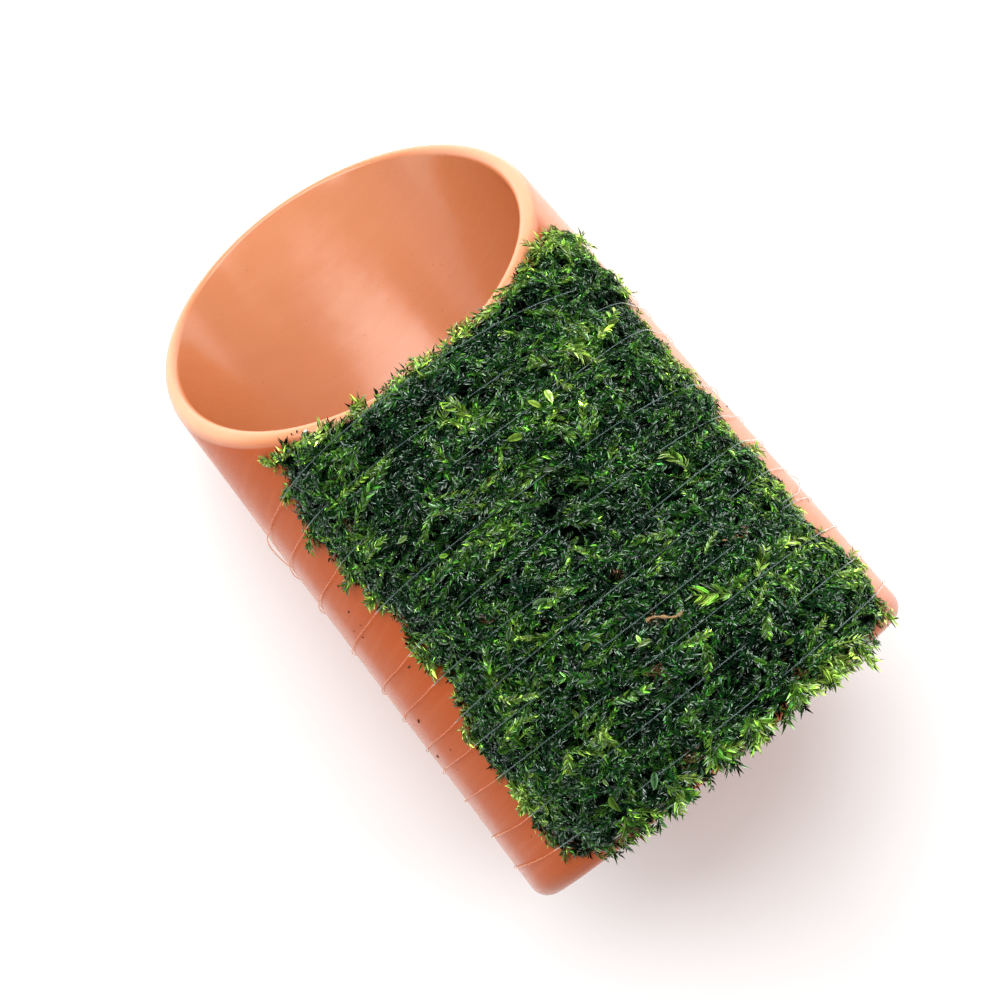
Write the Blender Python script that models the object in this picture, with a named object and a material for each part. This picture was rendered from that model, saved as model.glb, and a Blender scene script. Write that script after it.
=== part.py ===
"""Willow moss tied to the roof of a clay shelter, which lies on its long side.

Frame: +Z up, the tube's axis along Y, its slanted mouth facing -Y and its closed end at +Y.
The origin is in the middle of the underside, on the surface that the shelter rests on.
Azimuth goes round the tube from the top, positive towards +X, in degrees.
Reach goes along the tube from the closed end towards the mouth, in metres.
"""

import math

import bmesh
import bpy
from mathutils import Vector, noise

MM = 0.001

# Clay tube with a slanted mouth
OUTER_RADIUS = 35.0 * MM
WALL = 3.0 * MM
LONG_SIDE = 136.0 * MM
SHORT_SIDE = 67.0 * MM
END_THICKNESS = 4.0 * MM
END_ROUNDING = 2.8 * MM
INNER_FILLET = 3.0 * MM
SIDES = 64
END_STEPS = 4
LIP_STEPS = 6
FILLET_STEPS = 3

# Clear nylon line, a three-sided section with its flat face outwards
LINE_WIDTH = 0.35 * MM
LINE_CLEARANCE = 0.15 * MM
LINE_CROSSING = 0.42 * MM
KNOT_SWELLING = 2.2
KNOT_POINTS = 2

# Moss mat
MOSS_CLEARANCE = 0.3 * MM
MOSS_LEFT = 48.0
MOSS_RIGHT = -53.0
MOSS_COLUMNS = 30
CREST_HEIGHT = 3.4 * MM
LUMP_HEIGHT = 0.8 * MM
LUMP_SIZE = 4.5 * MM
GROOVE_HEIGHT = 2.0 * MM
EDGE_GROOVE_HEIGHT = 1.1 * MM
EDGE_HEIGHT = 1.6 * MM
GROOVE_HALF = 0.5 * MM
GROOVE_SLOPE = 1.0 * MM
TUFT_OVERHANG = 3.0 * MM
FRONT_CORNER_LEFT = 72.5 * MM
FRONT_CORNER_RIGHT = 75.5 * MM
FRONT_OVERHANG = 0.8 * MM
BACK_EDGE = 0.4 * MM
BACK_CORNER = 2.2 * MM
BACK_INSET = 0.6 * MM

# The line's turns from the closed end to the mouth: reach in mm where a turn crosses the right
# edge of the moss, its middle and its left edge
TURN_AZIMUTHS = (-60.0, -10.0, 52.0)
TURNS = (
    (4.8, 4.2, 5.2),
    (10.2, 10.1, 10.7),
    (15.8, 15.8, 17.4),
    (21.5, 20.9, 22.8),
    (27.2, 26.0, 26.9),
    (32.8, 31.1, 32.8),
    (37.5, 37.0, 38.2),
    (43.6, 43.4, 45.9),
    (54.6, 52.0, 54.6),
    (60.0, 58.2, 62.2),
    (63.4, 64.8, 68.0),
)
# Past the left edge each turn climbs down the flank and already leans towards the next one
FLANK_AZIMUTH = 78.0
FLANK_RISE = 1.3
# The first end is knotted beside the second turn, low on the right flank
START_POINTS = ((-125.0, 8.0), (-95.0, 5.7))
# The last end runs aslant round the underside, across the other turns, to a knot beside the fourth.
# It lies on the turns on both flanks and against the clay at the bottom, between two of them.
KNOT_TURN = 3
END_POINTS = (
    (78.0, 69.3), (100.0, 65.5), (165.0, 49.0), (195.0, 44.2),
    (270.0, 27.5), (300.0, 22.5), (333.0, 21.85),
)
CROSSING_SPANS = ((80.0, 160.0), (198.0, 282.0))
CROSSING_RAMP = 10.0

# Worked out from the sizes above
LINE_OUT = LINE_WIDTH / math.sqrt(3) / 2
LINE_IN = LINE_WIDTH / math.sqrt(3)
LINE_RADIUS = OUTER_RADIUS + LINE_CLEARANCE + LINE_IN
FACET = math.cos(math.pi / SIDES)
AXIS_HEIGHT = (LINE_RADIUS + LINE_OUT) * FACET
STEP = 360.0 / SIDES

CLAY_COLOUR = (0.60, 0.21, 0.085, 1.0)
MOSS_COLOUR = (0.022, 0.075, 0.016, 1.0)
LINE_COLOUR = (0.80, 0.82, 0.76, 1.0)


def place(azimuth, radius, reach):
    """The point at an azimuth in degrees, a radius from the tube's axis and a reach."""
    angle = math.radians(azimuth)
    return Vector((
        radius * math.sin(angle),
        LONG_SIDE / 2 - reach,
        AXIS_HEIGHT + radius * math.cos(angle),
    ))


def make_material(name, colour, roughness, transmission=0.0):
    material = bpy.data.materials.new(name)
    material.use_nodes = True
    shader = material.node_tree.nodes["Principled BSDF"]
    shader.inputs["Base Color"].default_value = colour
    shader.inputs["Roughness"].default_value = roughness
    shader.inputs["Metallic"].default_value = 0.0
    shader.inputs["Transmission Weight"].default_value = transmission
    material.diffuse_color = colour
    return material


def make_object(name, bm, material, sharp_angle):
    bmesh.ops.recalc_face_normals(bm, faces=bm.faces)
    mesh = bpy.data.meshes.new(name)
    bm.to_mesh(mesh)
    bm.free()
    mesh.materials.append(material)
    mesh.shade_smooth()
    mesh.set_sharp_from_angle(angle=math.radians(sharp_angle))
    thing = bpy.data.objects.new(name, mesh)
    bpy.context.scene.collection.objects.link(thing)
    return thing


def ring_faces(bm, rings):
    """Quads between neighbouring closed rings of equal length."""
    for ring, following in zip(rings, rings[1:]):
        for i in range(len(ring)):
            k = (i + 1) % len(ring)
            bm.faces.new((ring[i], ring[k], following[k], following[i]))


# Clay shelter

def lip_reach(azimuth):
    """Reach of the middle of the lip's rounding, which follows the slanted cut."""
    middle = (LONG_SIDE + SHORT_SIDE - WALL) / 2
    swing = (LONG_SIDE - SHORT_SIDE) / 2
    return middle - swing * math.cos(math.radians(azimuth))


def wall_profile(azimuth):
    """The wall's section at an azimuth, from the closed end's outside round the lip to its inside."""
    points = []
    for step in range(END_STEPS + 1):
        turn = math.pi / 2 * step / END_STEPS
        radius = OUTER_RADIUS - END_ROUNDING * (1 - math.sin(turn))
        points.append((radius, END_ROUNDING * (1 - math.cos(turn))))
    lip_radius = OUTER_RADIUS - WALL / 2
    slope = (LONG_SIDE - SHORT_SIDE) / 2 / lip_radius * math.sin(math.radians(azimuth))
    lip_height = WALL / 2 * math.sqrt(1 + slope ** 2)
    for step in range(LIP_STEPS + 1):
        turn = math.pi * step / LIP_STEPS
        radius = lip_radius + WALL / 2 * math.cos(turn)
        points.append((radius, lip_reach(azimuth) + lip_height * math.sin(turn)))
    for step in range(FILLET_STEPS + 1):
        turn = math.pi / 2 * step / FILLET_STEPS
        radius = OUTER_RADIUS - WALL - INNER_FILLET * (1 - math.cos(turn))
        points.append((radius, END_THICKNESS + INNER_FILLET * (1 - math.sin(turn))))
    return points


def make_shelter():
    bm = bmesh.new()
    azimuths = [(i + 0.5) * STEP for i in range(SIDES)]
    profiles = [wall_profile(azimuth) for azimuth in azimuths]
    rings = []
    for row in range(len(profiles[0])):
        ring = [bm.verts.new(place(a, *profile[row])) for a, profile in zip(azimuths, profiles)]
        rings.append(ring)
    ring_faces(bm, rings)
    bm.faces.new(rings[0])
    bm.faces.new(rings[-1])
    clay = make_material("clay", CLAY_COLOUR, 0.42)
    return make_object("shelter", bm, clay, 40)


# Route of the binding line

def route_points():
    """Azimuth, counted on past each full turn, and reach in mm of the points that lead the line."""
    points = list(START_POINTS)
    for turn, reaches in enumerate(TURNS):
        start = 360.0 * turn
        points += [(start + azimuth, reach) for azimuth, reach in zip(TURN_AZIMUTHS, reaches)]
        if turn < len(TURNS) - 1:
            points.append((start + FLANK_AZIMUTH, reaches[-1] + FLANK_RISE))
    last = 360.0 * (len(TURNS) - 1)
    points += [(last + azimuth, reach) for azimuth, reach in END_POINTS]
    return points


ROUTE = route_points()


def slope_at(index):
    """Slope of the smooth route at one of its points, none where the route turns back."""
    if index in (0, len(ROUTE) - 1):
        return 0.0
    (before, low), (here, middle), (after, high) = ROUTE[index - 1:index + 2]
    left = (middle - low) / (here - before)
    right = (high - middle) / (after - here)
    if left * right <= 0:
        return 0.0
    return 2 * left * right / (left + right)


def route_reach(azimuth):
    """Reach of the line at an azimuth counted on past each turn."""
    index = 0
    while index < len(ROUTE) - 2 and azimuth > ROUTE[index + 1][0]:
        index += 1
    (start, low), (end, high) = ROUTE[index], ROUTE[index + 1]
    span = end - start
    t = (azimuth - start) / span
    bend_in = slope_at(index) * span
    bend_out = slope_at(index + 1) * span
    blend = (2 * t ** 3 - 3 * t ** 2 + 1) * low + (t ** 3 - 2 * t ** 2 + t) * bend_in
    blend += (3 * t ** 2 - 2 * t ** 3) * high + (t ** 3 - t ** 2) * bend_out
    return blend * MM


def groove_height(azimuth):
    """Height of the pressed moss under the line, above the clay."""
    edge = MOSS_LEFT if azimuth > 0 else MOSS_RIGHT
    fall = min(abs(azimuth / edge), 1.0) ** 4
    return GROOVE_HEIGHT + (EDGE_GROOVE_HEIGHT - GROOVE_HEIGHT) * fall


def moss_bridge(azimuth):
    """Radius of the taut line, straight from the moss's edge down to where it meets the clay."""
    if MOSS_RIGHT <= azimuth <= MOSS_LEFT:
        return LINE_RADIUS + groove_height(azimuth)
    past = azimuth - MOSS_LEFT if azimuth > 0 else MOSS_RIGHT - azimuth
    span = math.degrees(math.acos(LINE_RADIUS / (LINE_RADIUS + EDGE_GROOVE_HEIGHT)))
    if past >= span:
        return LINE_RADIUS
    return LINE_RADIUS / math.cos(math.radians(span - past))


def crossing_lift(azimuth):
    """Lift of the line's last stretch over the turns that it crosses on both flanks."""
    past = azimuth - 360.0 * (len(TURNS) - 1)
    share = 0.0
    for start, end in CROSSING_SPANS:
        share = max(share, min(past - start, end - past) / CROSSING_RAMP + 1)
    return LINE_CROSSING * min(1.0, share)


def make_binding_line():
    first = math.ceil(ROUTE[0][0] / STEP - 0.5)
    last = math.floor(ROUTE[-1][0] / STEP - 0.5)
    azimuths = [(i + 0.5) * STEP for i in range(first, last + 1)]
    centres = []
    for azimuth in azimuths:
        wrapped = (azimuth + 180.0) % 360.0 - 180.0
        radius = moss_bridge(wrapped) + crossing_lift(azimuth)
        centres.append(place(azimuth, radius, route_reach(azimuth)))
    bm = bmesh.new()
    rings = []
    for i, (azimuth, centre) in enumerate(zip(azimuths, centres)):
        along = (centres[min(i + 1, len(centres) - 1)] - centres[max(i - 1, 0)]).normalized()
        out = place(azimuth, 1.0, 0.0) - place(azimuth, 0.0, 0.0)
        side = along.cross(out).normalized()
        from_end = min(i, len(centres) - 1 - i)
        size = KNOT_SWELLING if from_end < KNOT_POINTS else 1.0
        corners = (
            centre - out * LINE_IN,
            centre + out * LINE_OUT * size + side * LINE_WIDTH / 2 * size,
            centre + out * LINE_OUT * size - side * LINE_WIDTH / 2 * size,
        )
        rings.append([bm.verts.new(corner) for corner in corners])
    ring_faces(bm, rings)
    bm.faces.new(rings[0])
    bm.faces.new(rings[-1])
    line = make_material("nylon_line", LINE_COLOUR, 0.12, 0.6)
    return make_object("binding_line", bm, line, 80)


# Moss mat

def front_reach(azimuth):
    """Reach of the mat's front edge: it follows the lip, and its two corners are rounded off."""
    corner = FRONT_CORNER_LEFT if azimuth > 0 else FRONT_CORNER_RIGHT
    lip = lip_reach(azimuth) + FRONT_OVERHANG
    soft = 1.0 * MM
    return -soft * math.log(math.exp(-lip / soft) + math.exp(-corner / soft))


def back_reach(azimuth):
    """Reach of the mat's back edge at the closed end, with rounded corners."""
    edge = MOSS_LEFT if azimuth > 0 else MOSS_RIGHT
    return BACK_EDGE + BACK_CORNER * (azimuth / edge) ** 8


def crest_rows(low, high):
    """Rows of raised moss between two grooves, about 1.6 mm apart."""
    first = low + GROOVE_SLOPE
    last = high - GROOVE_SLOPE
    count = max(2, round((last - first) / (1.6 * MM)) + 1)
    return [first + (last - first) * i / (count - 1) for i in range(count)]


def row_plan():
    """How many crest rows lie past each groove: the same in every column."""
    counts = [1]
    for turn in range(len(TURNS) - 1):
        low = route_reach(360.0 * turn)
        high = route_reach(360.0 * (turn + 1))
        counts.append(min(3, len(crest_rows(low, high)) - 1))
    counts.append(3)
    return counts


def column_rows(azimuth, counts):
    """Reach and kind of each row of one column, from the closed end to the mouth."""
    rows = [(back_reach(azimuth), "edge")]
    low = back_reach(azimuth)
    for turn in range(len(TURNS)):
        here = route_reach(360.0 * turn + azimuth)
        high = here - GROOVE_HALF
        margin = 0.0 if turn == 0 else GROOVE_SLOPE
        rows += spread(low + margin, high - GROOVE_SLOPE, counts[turn])
        rows.append((high, "groove"))
        widening = 0.85 * MM if turn == KNOT_TURN else 0.0
        low = here + GROOVE_HALF + widening
        rows.append((low, "groove"))
    front = front_reach(azimuth)
    gap = (front - low) / (counts[-1] + 1)
    rows += [(low + gap * (i + 1), "crest") for i in range(counts[-1])]
    rows.append((front, "edge"))
    return rows


def spread(low, high, count):
    """Crest rows spaced evenly between two reaches, a single one in the middle."""
    if count == 1:
        return [((low + high) / 2, "crest")]
    return [(low + (high - low) * i / (count - 1), "crest") for i in range(count)]


def lump(azimuth, reach, size):
    """Smooth unevenness from -1 to 1 over the mat."""
    return noise.noise(Vector((math.radians(azimuth) * OUTER_RADIUS, reach, 0.0)) / size) * 1.6


def moss_height(azimuth, reach, kind, column):
    if kind == "groove":
        return groove_height(azimuth)
    uneven = lump(azimuth, reach, LUMP_SIZE) + 0.5 * lump(azimuth, reach, LUMP_SIZE / 2.3)
    height = CREST_HEIGHT + LUMP_HEIGHT * uneven
    if kind == "edge" or column in (0, MOSS_COLUMNS):
        return EDGE_HEIGHT + 0.3 * LUMP_HEIGHT * uneven
    if column in (1, MOSS_COLUMNS - 1):
        return 0.75 * height
    return height


def base_strip(base, column, last_row):
    """Points of one line of the underside: all rows along the mat's two sides, else its ends."""
    if column in (0, MOSS_COLUMNS):
        return [base[column, row] for row in range(last_row + 1)]
    return [base[column, 0], base[column, last_row]]


def make_moss_mat():
    bm = bmesh.new()
    counts = row_plan()
    top = []
    base = {}
    for column in range(MOSS_COLUMNS + 1):
        share = column / MOSS_COLUMNS
        azimuth = MOSS_LEFT + (MOSS_RIGHT - MOSS_LEFT) * share
        rows = column_rows(azimuth, counts)
        strip = []
        for row, (reach, kind) in enumerate(rows):
            height = moss_height(azimuth, reach, kind, column)
            tip = azimuth
            at_side = column in (0, MOSS_COLUMNS)
            if at_side and kind == "crest":
                out = TUFT_OVERHANG * max(0.0, 0.35 + 0.65 * lump(90.0 + azimuth, reach, 2.6 * MM))
                tip += math.copysign(math.degrees(out / OUTER_RADIUS), azimuth)
            strip.append(bm.verts.new(place(tip, OUTER_RADIUS + height, reach)))
            at_end = row in (0, len(rows) - 1)
            if at_side or at_end:
                inset = 0.0
                if at_end:
                    inset = BACK_INSET if row == 0 else -FRONT_OVERHANG
                point = place(azimuth, OUTER_RADIUS + MOSS_CLEARANCE, reach + inset)
                base[column, row] = bm.verts.new(point)
        top.append(strip)
    last_row = len(top[0]) - 1
    for left, right in zip(top, top[1:]):
        for row in range(last_row):
            bm.faces.new((left[row], left[row + 1], right[row + 1], right[row]))
    for column in (0, MOSS_COLUMNS):
        for row in range(last_row):
            edge = top[column][row + 1], top[column][row]
            bm.faces.new((*edge, base[column, row], base[column, row + 1]))
    for row in (0, last_row):
        for column in range(MOSS_COLUMNS):
            edge = top[column + 1][row], top[column][row]
            bm.faces.new((*edge, base[column, row], base[column + 1, row]))
    for column in range(MOSS_COLUMNS):
        near = base_strip(base, column, last_row)
        far = base_strip(base, column + 1, last_row)
        bm.faces.new(near + far[::-1])
    moss = make_material("moss", MOSS_COLOUR, 0.6)
    return make_object("moss_mat", bm, moss, 180)


def main():
    for thing in list(bpy.data.objects):
        bpy.data.objects.remove(thing, do_unlink=True)
    make_shelter()
    make_moss_mat()
    make_binding_line()


main()
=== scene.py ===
"""Looks of the willow moss on its clay shelter: clay, moss fronds, clear line, floor, light, camera.

Frame: +Z up, the tube's axis along Y, its slanted mouth facing -Y, as in the construction.
Azimuth goes round the tube from the top, positive towards +X, in degrees.
Reach goes along the tube from the closed end towards the mouth, in millimetres.
The moss is drawn on the unrolled tube, with three coordinates in millimetres:
u along the circumference, positive with azimuth, v the reach, and h the height above the clay.
"""

import math
from dataclasses import dataclass

import bpy
import numpy as np
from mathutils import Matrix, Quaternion, Vector


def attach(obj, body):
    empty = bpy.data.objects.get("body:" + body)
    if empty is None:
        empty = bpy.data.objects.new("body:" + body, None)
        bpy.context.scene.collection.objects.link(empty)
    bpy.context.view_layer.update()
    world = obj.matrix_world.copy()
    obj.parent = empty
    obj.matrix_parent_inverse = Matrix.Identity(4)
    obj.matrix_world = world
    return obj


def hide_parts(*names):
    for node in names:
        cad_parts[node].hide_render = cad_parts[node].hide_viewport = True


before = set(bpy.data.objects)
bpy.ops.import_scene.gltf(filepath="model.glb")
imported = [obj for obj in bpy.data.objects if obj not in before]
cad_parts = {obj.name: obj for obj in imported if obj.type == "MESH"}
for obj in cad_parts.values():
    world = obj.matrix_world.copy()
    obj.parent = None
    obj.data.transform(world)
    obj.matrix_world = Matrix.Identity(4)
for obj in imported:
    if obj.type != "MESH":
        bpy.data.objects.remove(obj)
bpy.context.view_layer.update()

MM = 0.001

# Clay tube, as in the construction
OUTER_RADIUS = 35.0
WALL = 3.0
LONG_SIDE = 136.0
SHORT_SIDE = 67.0
END_THICKNESS = 4.0
END_ROUNDING = 2.8
INNER_FILLET = 3.0
CLAY_SIDES = 288
WALL_STEPS = 44
LIP_STEPS = 25
ROUND_STEPS = 8
END_RINGS = (5.0, 14.0, 24.0)

# The lip's crest as a share of the wall from inside, and how much lower its outer side starts
LIP_CREST = 0.45
LIP_DROP = 0.5

# Slight unevenness of the clay: its height and its size
CLAY_UNEVENNESS = 0.06
CLAY_WAVE = 16.0

# Binding line, as in the construction
SIDES = 64
LINE_WIDTH = 0.35
LINE_CLEARANCE = 0.15
TURN_AZIMUTHS = (-60, -10, 52)
TURNS = (
    (4.8, 4.2, 5.2), (10.2, 10.1, 10.7), (15.8, 15.8, 17.4), (21.5, 20.9, 22.8),
    (27.2, 26.0, 26.9), (32.8, 31.1, 32.8), (37.5, 37.0, 38.2), (43.6, 43.4, 45.9),
    (54.6, 52.0, 54.6), (60.0, 58.2, 62.2), (63.4, 64.8, 68.0),
)
FLANK_AZIMUTH = 78.0
FLANK_RISE = 1.3
START_POINTS = ((-125, 8), (-95, 5.7))
END_POINTS = (
    (78, 69.3), (100, 65.5), (165, 49), (195, 44.2),
    (270, 27.5), (300, 22.5), (333, 21.85),
)
CROSSING_SPANS = ((80, 160), (198, 282))
CROSSING_RAMP = 10.0

# The real line is round and a little finer than the solid that stands for it
ROUND_LINE_RADIUS = 0.09
ROUND_LINE_CROSSING = 0.33
LINE_STEP = 3.0
LINE_CORNERS = 10

# Moss: its leaves rise above this shape, so it is lower than the solid that stands for it
MOSS_LENGTH = 76.0
MOSS_SPREAD = (-62.0, 58.0)
MOSS_LEFT = 48.0
MOSS_RIGHT = -53.0
CREST_HEIGHT = 2.85
LUMP_HEIGHT = 0.38
GROOVE_HEIGHT = 2.0
EDGE_GROOVE_HEIGHT = 1.1
GROOVE_HALF = 0.3
GROOVE_SLOPE = 1.6
FRONT_CORNER_LEFT = 73.5
FRONT_CORNER_RIGHT = 76.5
FRONT_OVERHANG = 0.9
CORNER_RETREAT = 1.9
BACK_EDGE = 0.7
BACK_CORNER = 2.2

# How far inside its edges the moss gets thinner, and the share of its height that is left there
SIDE_FALL = 9.0
SIDE_HEIGHT = 0.22
END_FALL = 3.5
END_HEIGHT = 0.45

# How much higher the moss is where it closes over the line
LINE_COVER = 0.5

# Outline of the moss along its two sides: reach and azimuth
LEFT_EDGE = (
    (0, 38), (4, 47.5), (8, 50), (12, 48.5), (20, 48), (24, 48.5), (30, 43.5),
    (36, 44), (45, 45), (52, 48.5), (56, 48), (60, 50.5), (64, 49), (67, 48.5),
    (70, 43.5), (73, 46),
)
RIGHT_EDGE = (
    (0, -52.5), (4, -54.5), (10, -60), (14, -55), (19, -52.5), (24, -55), (31, -56.5),
    (36, -51.5), (41, -58.5), (45, -58), (49, -54.5), (53, -57), (59, -58), (64, -67),
    (67, -62), (70, -59), (73, -63.5), (75.5, -57),
)

# Fronds that stand out on top: azimuth, reach, heading, length, leaf length and freshness
TOP_FRONDS = (
    (39.2, 60.4, -172, 13.6, 0.65, 0.86), (34, 55.7, 161, 9.2, 0.9, 0.72),
    (39.2, 51.2, 178, 5.4, 0.9, 0.82), (32.2, 26.7, 128, 4.6, 0.95, 0.78),
    (17.2, 50.5, -148, 4.5, 0.6, 0.84), (2.5, 42.2, 27, 5.8, 1, 0.66),
    (-0.5, 50.1, -63, 3.3, 0.4, 0.88), (-41.5, 71, 52, 3.9, 1.1, 0.92),
    (-43.1, 67.3, 89, 5.3, 1.2, 0.85), (-51.3, 66.3, 88, 4.5, 1.2, 0.85),
    (-48.8, 61.4, 180, 7, 0.9, 0.88), (-32.3, 54.8, 154, 6.4, 1.3, 0.95),
    (-25.7, 56.7, -95, 3.2, 1.3, 0.9), (-21.3, 54.7, 44, 3.4, 1.3, 0.88),
    (-12.9, 43.6, 137, 8, 0.8, 0.8), (-18.4, 54.5, -99, 3.6, 1, 0.88),
    (-23.6, 63.1, -152, 4.6, 0.9, 0.82), (-28.2, 32.4, 78, 4.2, 1.3, 0.88),
    (-18.2, 26.2, 37, 6.2, 0.9, 0.8), (-18.1, 22.2, 158, 3.2, 0.6, 0.9),
    (-24.6, 15.9, 147, 4, 1.2, 0.9), (-18.7, 16.1, 32, 5.2, 1.7, 0.93),
    (-28, 14.4, -88, 3.8, 0.5, 0.8), (-21.4, 12.3, -55, 4, 0.9, 0.84),
    (-34.3, 17, 177, 6.5, 1.3, 0.88), (-25.7, 2.1, -143, 4.4, 1.2, 0.92),
    (15.7, 30.1, -167, 5.4, 0.7, 0.86), (13.7, 27.3, -169, 3.4, 0.4, 0.8),
    (13, 24.2, -154, 6.4, 0.7, 0.62), (33.9, 25.4, -143, 6.2, 0.7, 0.8),
    (11.1, 16.7, 40, 8, 0.9, 0.6), (15.7, 15.6, -148, 6, 0.9, 0.82),
    (18.7, 14.3, -75, 4.2, 0.9, 0.88), (27, 14.4, -61, 2.8, 0.9, 0.97),
    (29.8, 3.4, -153, 3.6, 1, 0.84), (19.1, 1.2, -163, 4, 0.9, 0.86),
    (0.3, 55.9, 70, 3.4, 1.2, 0.88), (7.1, 56.7, 130, 3, 1.2, 0.88),
    (41, 9, 40, 3.6, 1.2, 0.86), (44, 13.5, 10, 3.8, 1.2, 0.88),
    (-47, 45.5, 160, 4.5, 1.3, 0.86), (-45, 24, 170, 4.6, 1.2, 0.84),
    (-40, 30.5, 150, 4.2, 1.2, 0.86), (-51, 31, 185, 3.6, 1.1, 0.88),
)

# Single broad leaves: azimuth, reach, heading, length and freshness
BROAD_LEAVES = (
    (-5.7, 49, 20, 2.6, 0.84), (26.1, 49.3, 10, 1.9, 0.86), (-3.9, 44, -150, 1.8, 0.8),
    (21.9, 43.6, 30, 1.5, 0.7), (25.3, 42.8, -20, 1.3, 0.66), (-15.4, 52.9, -75, 2.4, 0.95),
    (-12.2, 51.1, 60, 2, 0.84), (-18.9, 7.1, -170, 1.5, 0.86), (-12, 8.2, -110, 1.9, 0.82),
    (0.7, 17.8, 35, 1.8, 0.9), (2.7, 18.4, 100, 1.2, 0.84), (7, 25, -10, 1.5, 0.84),
    (12.3, 22.2, 160, 1.5, 0.84), (22.9, 29.5, 115, 1.9, 0.78), (34.3, 19.8, -65, 1.6, 0.84),
    (38.2, 19, 20, 2.4, 0.62), (25.8, 6.2, -70, 2.4, 0.8), (25.3, 8.4, -80, 1.3, 0.84),
    (16.3, 5.2, -60, 2.4, 0.6), (15, 31, -165, 3, 0.76), (22, 16, 100, 1.6, 0.8),
    (-30.5, 57.2, -60, 2.2, 0.94), (-24.5, 55.5, 200, 2.4, 0.86), (-14.8, 27.2, 37, 2.4, 0.86),
)

# Tufts that hang over the moss's edge: azimuth, reach and heading
EDGE_TUFTS = (
    (46, 72, 35), (48, 68.5, 10), (52, 61, 0), (47.5, 52.5, -10), (45.5, 47.5, 20), (43.5, 36, 10),
    (48, 25.5, -20), (45, 13, 0), (-58.5, 47.5, 170), (-65, 64, 178), (-62.5, 73, 155),
    (-62, 73, 150), (-57.5, 31, 180), (-59, 10.5, 185), (-51, 2, 230), (-33, 1.2, 270),
    (-24, 2.9, 270), (-15, 2.8, 262), (-5, 2.9, 275), (4, 3.1, 268), (15, 3, 275),
    (25, 3.1, 262),
)

# Old brown bits showing between the fronds: azimuth, reach and radius
BROWN_SPOTS = (
    (-2.5, 20, 0.8), (-2.4, 27.3, 0.6), (-29.4, 21.7, 0.6), (4.1, 14.7, 0.8), (-18.3, 2.9, 0.8),
    (9.3, 3.4, 1), (28.7, 1.2, 1), (-29, 46.5, 0.5), (24, 33.5, 0.5), (37, 56.8, 0.6),
)

# Patches of fresh growth: azimuth, reach and radius
FRESH_PATCHES = (
    (-50, 71, 8), (-30, 55.5, 4.5), (-14, 50, 4), (-48, 47, 4), (-30, 31.5, 3),
    (-36, 17.5, 4.5), (-24, 15.5, 2.5), (-44, 8, 5), (-27, 2, 3.5), (37, 54, 4),
    (1, 56, 2.5), (30, 63, 3), (12, 42, 2.5), (33, 24, 4), (41, 11, 4),
    (22, 14, 3), (-2, 43.5, 3), (20, 30, 2.5), (38, 31, 3), (-48, 26, 4),
)

# Small crumbs of soil on the clay: azimuth, reach and size
CLAY_CRUMBS = (
    (53.6, 37.4, 0.34), (67.5, 31.5, 0.36), (73.4, 26.1, 0.34), (62, 25, 0.22), (66, 22.4, 0.18),
    (57, 53.5, 0.24), (61, 50, 0.2), (63.5, 46, 0.16), (60.2, 47.2, 0.13), (65.8, 47.8, 0.12),
    (52, 63.5, 0.18), (46.5, 71.6, 0.2), (36.5, 73, 0.26), (34.8, 72.6, 0.2), (56, 8.5, 0.16),
    (-72, 40, 0.16), (-68, 21, 0.18), (-80, 55, 0.15),
)

# How the moss is made up
MOSS_PARTS = (("moss_back", 0.0, 24.0), ("moss_middle", 24.0, 48.0), ("moss_front", 48.0, MOSS_LENGTH))
UNDER_SHOOTS = 1300
BODY_SHOOTS = 1080
TOP_SHOOTS = 760
FRINGE_TRIES = 9000
FRINGE_SHOOTS = 520
TUFT_FRONDS = 6
SLIM_LEAF = ((0.42, 1.0),)
OVAL_LEAF = ((0.2, 0.72), (0.5, 1.0), (0.8, 0.62))
OLD_SHARE = 0.003

# Share of the leaves that are wet, gloss of the others and of a wet leaf's rib, and how strongly they shine
GLOSSY_SHARE = 0.45
DULL_GLOSS = 0.02
RIB_GLOSS = 0.1
LEAF_IOR = 2.2

# How much fresher the moss is in its patches, and along its front and right edges
FRESH_GAIN = 0.32
FRESH_EDGE = 0.42
FRESH_EDGE_WIDTH = 3.0

# Leaf colours from the painted shade of the depth to fresh tips, the near-black painted shade of the tangle
# deep in the moss, and colours of old growth
PALETTE = (
    (0.0, (0.001, 0.009, 0.004)),
    (0.25, (0.006, 0.036, 0.014)),
    (0.5, (0.026, 0.118, 0.018)),
    (0.75, (0.115, 0.285, 0.034)),
    (1.0, (0.360, 0.530, 0.095)),
)
DEPTH_SHADE_COLOURS = ((0.35, (0.002, 0.006, 0.004)), (0.55, (0.008, 0.022, 0.010)), (0.72, (0.020, 0.050, 0.016)))
OLD_LEAF = (0.11, 0.060, 0.020)
RUST = (0.20, 0.095, 0.038)
DRY_STEM = (0.50, 0.34, 0.17)

# Clay colours: its three parts, the outside's darker colour being painted shade, and its pale and dark marks
CLAY_OUTSIDE = (0.49, 0.112, 0.028)
CLAY_INSIDE = (0.65, 0.252, 0.108)
CLAY_LIP = (0.91, 0.390, 0.195)
CLAY_PALE = (0.80, 0.42, 0.24)
CLAY_DARK = (0.30, 0.100, 0.042)

# Gloss of dry and of wet clay, and how far the right flank goes towards the lip's colour as painted light
CLAY_DULL = 0.12
CLAY_WET = 0.9
CLAY_FLANK_PAINTED_LIGHT = 0.45

# Painted light on the clear line: the colour of what shows through it over the clay, over the pale right
# flank and over the moss
LINE_PAINTED_TINTS = ((0.0, (1.0, 0.62, 0.42)), (0.5, (1.0, 0.96, 0.93)), (1.0, (0.36, 0.49, 0.47)))

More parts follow.
